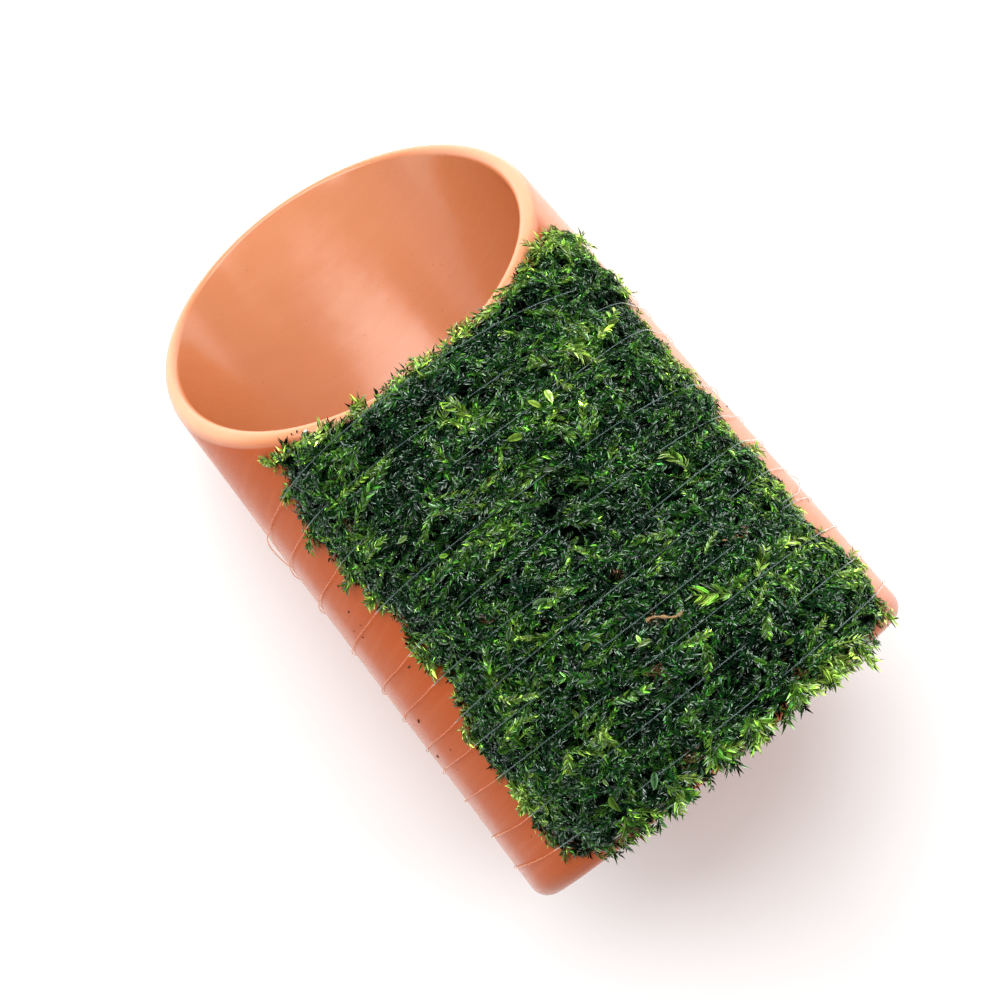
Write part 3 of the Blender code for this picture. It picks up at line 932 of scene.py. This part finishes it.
class Shoots:
    """Leafy shoots of moss: paths over the mat with leaves in two rows along them."""

    def __init__(self, seed, habit, roots=None):
        self.rng = np.random.default_rng(seed)
        self.habit = habit
        self.root = roots

    def scatter(self, count, inside, low=0.0, high=MOSS_LENGTH):
        """Roots spread evenly over the moss, at least inside mm from its edge."""
        roots = np.empty((0, 2))
        while len(roots) < count:
            u = self.rng.uniform(*u_of(MOSS_SPREAD), count)
            v = self.rng.uniform(low, high, count)
            kept = edge_gap(u, v) > inside
            roots = np.concatenate((roots, packed(u[kept], v[kept])))
        self.root = roots[:count]
        return self

    def draw(self, low, high):
        """A random number for each shoot."""
        return self.rng.uniform(low, high, len(self.root))

    def headings(self, share_along):
        """Some shoots lie along the line, as the moss was laid, and some anyhow."""
        rng, count = self.rng, len(self.root)
        combed = rng.choice((0.0, 180.0), count) + rng.normal(18.0, 24.0, count)
        return np.where(rng.random(count) < share_along, combed, rng.uniform(0.0, 360.0, count))

    def grow(self, heading, length, overhang):
        """Walks each shoot from its root; it ends where it passes too far over the moss's edge."""
        rng, habit, count = self.rng, self.habit, len(self.root)
        nodes = math.ceil(length.max() / habit.step) + 1
        turning = rng.normal(0.0, habit.wander, (count, nodes)).cumsum(axis=1)
        turning += rng.normal(0.0, habit.sweep, (count, 1)) * np.arange(nodes)
        angle = np.radians(heading)[:, None] + turning
        self.u = self.root[:, :1] + np.cumsum(np.cos(angle), axis=1) * habit.step
        self.v = self.root[:, 1:] + np.cumsum(np.sin(angle), axis=1) * habit.step
        self.share = np.arange(nodes) * habit.step / length[:, None]
        alive = (self.share <= 1.0) & (edge_gap(self.u, self.v) > -overhang[:, None])
        self.alive = np.logical_and.accumulate(alive, axis=1)
        self.free = np.broadcast_to(rng.random((count, 1)) < habit.covering, self.u.shape)
        return self

    def lift(self, level, rise, wave):
        """Height of each shoot as a share of the moss's height, with a wave and a rising tip."""
        phase = self.rng.uniform(0.0, 2 * math.pi, (len(self.u), 1))
        swell = wave * np.sin(np.arange(self.u.shape[1]) * 0.55 + phase)
        share = level[:, None] + swell + rise[:, None] * np.minimum(self.share, 1.0) ** 2
        height = np.maximum(share, 0.06) * moss_top(self.u, self.v)
        self.points = packed(self.u, self.v, height)
        return self

    def colour(self, fresh, patchiness):
        """Freshness of each node: the shoot's own, in patches, and more towards its tip."""
        patches = patchiness * ripples(self.u, self.v, 5.0, 21)
        patches += FRESH_GAIN * spots_share(self.u, self.v, FRESH_PATCHES)
        front = front_reach(azimuth_of(self.u)) - self.v
        right = self.u - side_edges(self.v)[1]
        patches += FRESH_EDGE * (1.0 - smooth(np.minimum(front, right) / FRESH_EDGE_WIDTH))
        self.fresh = fresh[:, None] + patches + 0.12 * (self.share - 0.5)
        return self

    def leaves(self, leaf):
        """Two leaves at each node, from the length of each shoot's leaves."""
        rng, habit = self.rng, self.habit
        along = unit(np.gradient(self.points, axis=1))
        side = unit(np.cross(UP, along))
        above = np.cross(along, side)
        thin = np.clip(moss_top(self.u, self.v) / 2.5, 0.25, 1.0)
        roll = rng.normal(0.0, habit.roll, (len(self.u), 1)) * thin + rng.normal(0.0, 0.08, self.u.shape)
        roll = roll[..., None]
        plane_side = side * np.cos(roll) + above * np.sin(roll)
        plane_above = above * np.cos(roll) - side * np.sin(roll)
        envelope = 0.5 + 0.5 * np.sin(math.pi * np.minimum(self.share, 1.0) ** 0.8)
        parts = []
        for sign in (-1.0, 1.0):
            keep = self.alive & (rng.random(self.u.shape) > 0.05)
            count = int(keep.sum())
            angle = rng.normal(habit.spread, habit.scatter, count)[:, None]
            up = plane_above[keep]
            direction = along[keep] * np.cos(angle) + plane_side[keep] * sign * np.sin(angle)
            direction = unit(direction + up * rng.normal(habit.lean, habit.lean_scatter, count)[:, None])
            face = unit(up - direction * np.sum(up * direction, axis=-1, keepdims=True))
            tilt = rng.normal(0.0, habit.twist, count)[:, None]
            face = face * np.cos(tilt) + np.cross(direction, face) * np.sin(tilt)
            size = (leaf[:, None] * envelope)[keep] * rng.uniform(0.8, 1.2, count)
            parts.append((
                self.points[keep], direction, face, along[keep] * habit.hook, size,
                habit.width * size ** 0.5, self.fresh[keep], self.free[keep],
            ))
        *frame_of_leaf, fresh, free = [np.concatenate(part) for part in zip(*parts)]
        points, faces = blades(*frame_of_leaf, habit.shape, rng)
        points = below_line(points, free[:, None])
        return points, faces, leaf_tones(points, fresh, rng)

    def stems(self, width, every=1):
        """Flat stems along the shoots, a strip of triangles through every so many nodes."""
        picked = below_line(self.points, self.free)[:, ::every]
        alive = self.alive[:, ::every]
        along = unit(np.gradient(picked, axis=1))
        side = unit(np.cross(UP, along)) * width / 2
        pairs = np.stack((picked - side, picked + side), axis=2)
        shoot, node = np.nonzero(alive[:, :-1] & alive[:, 1:])
        start = (shoot * alive.shape[1] + node) * 2
        faces = packed(start, start + 1, start + 3), packed(start, start + 3, start + 2)
        used, faces = np.unique(np.concatenate(faces), return_inverse=True)
        tones = tones_for(np.repeat(self.fresh[:, ::every].reshape(-1), 2)[used] + 0.05)
        return pairs.reshape(-1, 3)[used], faces.reshape(-1, 3), packed(*tones.T, DULL_GLOSS)


def moss_piece(name, groups, material):
    """One object from several (points, faces, tones) groups in unrolled places."""
    points, faces = joined(groups)
    tones = np.concatenate([group[2].reshape(-1, 4) for group in groups])
    dress(mesh_object(name, from_unrolled(points), faces, material, tones), "moss_mat")


def make_depth():
    """The dark lumpy tangle that the shoots grow from, coloured near-black as painted shade."""
    rows, columns = 92, 84
    along = np.linspace(0.0, 1.0, rows)[:, None]
    across = np.linspace(0.0, 1.0, columns)[None, :]
    left, right = side_edges(MOSS_LENGTH * along)
    inset = u_of(2.5)
    u = left - inset + (right - left + 2 * inset) * across
    azimuth = azimuth_of(u)
    back = back_reach(azimuth) + 0.8
    front = front_reach(azimuth) - 0.6
    v = back + (front - back) * along
    from_rim = np.minimum(np.minimum(across, 1 - across), np.minimum(along, 1 - along))
    rim = from_rim * columns / 3.0
    bumps = 0.30 + 0.08 * ripples(u, v, 1.5, 41)
    h = 0.1 + smooth(rim) * bumps * moss_top(u, v)
    points = from_unrolled(packed(u, v, h))
    faces = grid_faces(rows, columns)
    dress(mesh_object("moss_depth", points, faces, depth_material()), "moss_mat")


def make_under_layer(material):
    """The dark shoots that show between those of the body, their dark colour painted shade."""
    shoots = Shoots(101, Habit(step=0.46, wander=0.16, roll=0.8, twist=0.6, width=0.34))
    shoots.scatter(UNDER_SHOOTS, -0.2)
    shoots.grow(shoots.headings(0.3), shoots.draw(4.0, 9.0), shoots.draw(-0.3, 0.5))
    shoots.lift(shoots.draw(0.25, 0.62), shoots.draw(0.0, 0.2), 0.06)
    shoots.colour(shoots.rng.normal(0.10, 0.08, UNDER_SHOOTS), 0.04)
    moss_piece("moss_under", [shoots.leaves(shoots.draw(0.8, 1.2))], material)


def make_body(material):
    """The thick of the moss, in three pieces along the tube."""
    for seed, (name, low, high) in enumerate(MOSS_PARTS, 200):
        shoots = Shoots(seed, Habit(roll=0.5)).scatter(BODY_SHOOTS, 0.1, low, high)
        shoots.grow(shoots.headings(0.45), shoots.draw(3.5, 9.0), shoots.draw(-0.6, 0.6))
        shoots.lift(shoots.rng.normal(0.74, 0.14, BODY_SHOOTS), shoots.draw(0.0, 0.2), 0.06)
        shoots.colour(shoots.rng.beta(2.0, 4.0, BODY_SHOOTS) * 0.70 + 0.08, 0.06)
        moss_piece(name, [shoots.leaves(shoots.draw(0.42, 0.8)), shoots.stems(0.13, 3)], material)


def make_top(material):
    """Fresher shoots that lie flat on top and show their leaves side by side."""
    shoots = Shoots(301, Habit(roll=0.28, twist=0.25, spread=0.9)).scatter(TOP_SHOOTS, 0.6)
    shoots.grow(shoots.headings(0.4), shoots.draw(2.5, 7.0), shoots.draw(-0.4, 0.6))
    shoots.lift(shoots.rng.normal(0.98, 0.07, TOP_SHOOTS), shoots.draw(0.0, 0.15), 0.05)
    shoots.colour(shoots.rng.beta(2.2, 2.8, TOP_SHOOTS) * 0.68 + 0.20, 0.08)
    moss_piece("moss_top", [shoots.leaves(shoots.draw(0.5, 0.95)), shoots.stems(0.14, 2)], material)


def single_leaves(rng):
    """The broad leaves that lie on top here and there."""
    table = np.array(BROAD_LEAVES)
    count = len(table)
    u, v = places_of(table).T
    heading, length = np.radians(table[:, 2]), table[:, 3]
    base = packed(u, v, moss_top(u, v) * 1.12)
    along = unit(packed(np.cos(heading), np.sin(heading), rng.normal(0.1, 0.12, count)))
    above = unit(UP - along * along[:, 2:])
    toward = np.cross(along, above) * rng.normal(0.0, 0.25, count)[:, None]
    points, faces = blades(base, along, above, toward, length, length * 0.42, OVAL_LEAF, rng)
    return points, faces, leaf_tones(points, table[:, 4], rng)


def make_fronds(material):
    """The fronds and broad leaves that stand out on top."""
    table = np.array(TOP_FRONDS)
    count = len(table)
    habit = Habit(step=0.34, wander=0.03, sweep=0.008, roll=0.15, twist=0.25, shape=OVAL_LEAF, covering=1.0)
    shoots = Shoots(401, habit, places_of(table))
    shoots.grow(table[:, 2], table[:, 3], np.full(count, 3.0))
    shoots.lift(np.full(count, 1.10), np.full(count, 0.05), 0.03)
    shoots.colour(table[:, 5] - 0.1, 0.02)
    groups = [shoots.leaves(table[:, 4]), shoots.stems(0.16), single_leaves(shoots.rng)]
    moss_piece("moss_fronds", groups, material)


def make_fringe(material):
    """Loose tips that spread over the moss's edge onto the clay."""
    shoots = Shoots(501, Habit(step=0.36, roll=0.5, wander=0.12, covering=1.0))
    rng = shoots.rng
    u = rng.uniform(*u_of(MOSS_SPREAD), FRINGE_TRIES)
    v = rng.uniform(0.0, MOSS_LENGTH, FRINGE_TRIES)
    gap = edge_gap(u, v)
    shoots.root = packed(u, v)[(gap > -0.2) & (gap < 1.2)][:FRINGE_SHOOTS]
    count = len(shoots.root)
    u, v = shoots.root.T
    near = 0.4
    slope_u = edge_gap(u + near, v) - edge_gap(u - near, v)
    slope_v = edge_gap(u, v + near) - edge_gap(u, v - near)
    outwards = np.degrees(np.arctan2(-slope_v, -slope_u))
    front = v > MOSS_LENGTH / 2
    most = np.where(side_gap(u, v) < end_gap(u, v), 2.2, np.where(front, 0.9, 2.0))
    overhang = 0.2 + most * rng.random(count) ** 2.5
    shoots.grow(outwards + rng.normal(0.0, 40.0, count), shoots.draw(1.5, 4.0), overhang)
    shoots.lift(shoots.draw(0.3, 1.2), shoots.draw(-0.2, 0.4), 0.05)
    shoots.colour(shoots.draw(0.45, 0.90), 0.12)
    moss_piece("moss_fringe", [shoots.leaves(shoots.draw(0.7, 1.2)), shoots.stems(0.13)], material)


def make_tufts(material):
    """Fresh tufts whose fronds spread out past the moss's edge."""
    table = np.repeat(np.array(EDGE_TUFTS), TUFT_FRONDS, axis=0)
    count = len(table)
    shoots = Shoots(451, Habit(step=0.32, wander=0.05, roll=0.5, covering=1.0))
    rng = shoots.rng
    shoots.root = places_of(table) + rng.normal(0.0, 0.5, (count, 2))
    overhang = shoots.draw(1.2, 2.6)
    shoots.grow(table[:, 2] + rng.normal(0.0, 32.0, count), shoots.draw(1.8, 3.8), overhang)
    shoots.lift(shoots.draw(0.8, 1.5), shoots.draw(0.0, 2.0), 0.04)
    shoots.colour(shoots.draw(0.66, 0.98), 0.06)
    moss_piece("moss_tufts", [shoots.leaves(shoots.draw(0.8, 1.2)), shoots.stems(0.14)], material)


def make_moss():
    dark = leaf_material("deep_leaf", 0.3, 0.05)
    wet = leaf_material("wet_leaf", 0.09, 0.12)
    fresh = leaf_material("fresh_leaf", 0.11, 0.25)
    make_depth()
    make_under_layer(dark)
    make_body(wet)
    make_top(fresh)
    make_fronds(fresh)
    make_tufts(fresh)
    make_fringe(fresh)


# Small things on the clay

def lump_mesh(centre, size, seed):
    """A small irregular crumb, sitting half sunk at its centre."""
    rng = np.random.default_rng(seed)
    rings, sides = 7, 9
    polar = np.linspace(0.08, math.pi - 0.08, rings)[:, None]
    turn = np.arange(sides)[None, :] * 2 * math.pi / sides
    shape = packed(
        np.sin(polar) * np.cos(turn) * rng.uniform(0.8, 1.6),
        np.sin(polar) * np.sin(turn) * rng.uniform(0.5, 1.0),
        np.cos(polar) * 0.5,
    )
    shape *= rng.uniform(0.8, 1.2, (rings, sides, 1))
    spin = rng.uniform(0.0, 2 * math.pi)
    u = shape[..., 0] * math.cos(spin) - shape[..., 1] * math.sin(spin)
    v = shape[..., 0] * math.sin(spin) + shape[..., 1] * math.cos(spin)
    points = packed(u, v, shape[..., 2]) * size + centre
    return from_unrolled(points).reshape(-1, 3), grid_faces(rings, sides, wrap=True)


def make_crumbs():
    lumps = []
    for index, (azimuth, reach, size) in enumerate(CLAY_CRUMBS):
        lumps.append(lump_mesh(np.array((u_of(azimuth), reach, size * 0.2)), size * 0.8, 600 + index))
    soil = speck_material("soil", (0.035, 0.020, 0.010), (0.12, 0.06, 0.03), 0.7)
    dress(mesh_object("soil_crumbs", *joined(lumps), soil), None)
    grain = lump_mesh(np.array((u_of(32.6), 71.4, 0.15)), 0.42, 651)
    sand = speck_material("white_sand", (0.75, 0.74, 0.72), (0.95, 0.95, 0.94), 0.4)
    dress(mesh_object("white_grain", *grain, sand), None)


def make_dry_stem():
    """A dead stem, tan and gnarled, that lies across the moss."""
    share = np.linspace(0.0, 1.0, 26)
    u = u_of(-0.8) + (u_of(-7.6) - u_of(-0.8)) * share
    v = 20.2 - 2.2 * share + 0.35 * np.sin(share * 7.0)
    h = moss_top(u, v) * 1.06 + 0.2
    thickness = (0.20 + 0.07 * np.sin(share * 31.0) + 0.05 * np.sin(share * 17.0)) * MM
    points, faces = tube(from_unrolled(packed(u, v, h)), thickness, 7, (0.0, 0.3, 1.0))
    bark = speck_material("dry_stem", (0.22, 0.12, 0.05), DRY_STEM, 0.55)
    dress(mesh_object("dry_stem", points, faces, bark), None)


# Floor, light and camera

def make_floor():
    half = 1.5
    points = half * np.array(((-1, -1, 0), (1, -1, 0), (1, 1, 0), (-1, 1, 0)))
    pale = Nodes("pale_floor").finish({"Base Color": (0.93, 0.93, 0.93, 1.0), "Roughness": 0.8})
    mesh_object("floor", points, np.array(((0, 1, 2, 3),)), pale)


def put(name, data, place, turn):
    """An object with its data, place and quaternion."""
    thing = bpy.data.objects.new(name, data)
    thing.location = place
    thing.rotation_mode = "QUATERNION"
    thing.rotation_quaternion = turn
    bpy.context.scene.collection.objects.link(thing)
    return thing


def soft_light(name, direction, distance, size, power, shape="RECTANGLE"):
    """A broad light at a distance in a direction from the object, aimed at it."""
    data = bpy.data.lights.new(name, "AREA")
    data.shape = shape
    data.size, data.size_y = size
    data.energy = power
    away = Vector(direction).normalized()
    put(name, data, Vector(CAMERA_AIM) + away * distance, away.to_track_quat("Z", "Y"))


def make_light():
    world = bpy.data.worlds.new("studio")
    world.use_nodes = True
    sky = world.node_tree.nodes["Background"].inputs
    sky["Color"].default_value = (1.0, 1.0, 1.0, 1.0)
    sky["Strength"].default_value = 0.62
    bpy.context.scene.world = world
    soft_light("overhead", (-0.04, -0.29, 0.95), 0.75, (0.95, 0.30), 2.9, "ELLIPSE")
    soft_light("front", (0.0, -0.85, 0.52), 0.85, (1.4, 0.40), 5.3)
    soft_light("right", (-0.95, 0.30, 0.30), 0.85, (0.80, 0.55), 3.8)
    soft_light("left", (0.95, -0.10, 0.30), 0.85, (0.80, 0.55), 0.8)
    settings = bpy.context.scene.view_settings
    settings.view_transform = "Standard"
    settings.look = "None"
    settings.exposure = 0.0
    settings.gamma = 0.85


def make_camera():
    data = bpy.data.cameras.new("camera")
    data.lens = CAMERA_LENS
    data.sensor_width = CAMERA_SENSOR
    data.clip_start = 0.005
    level = (Vector(CAMERA_AIM) - Vector(CAMERA_PLACE)).to_track_quat("-Z", "Y")
    roll = Quaternion((0.0, 0.0, 1.0), -math.radians(CAMERA_ROLL))
    bpy.context.scene.camera = put("camera", data, CAMERA_PLACE, level @ roll)


def main():
    make_camera()
    make_light()
    make_floor()
    make_shelter()
    make_binding_line()
    make_moss()
    make_crumbs()
    make_dry_stem()


main()
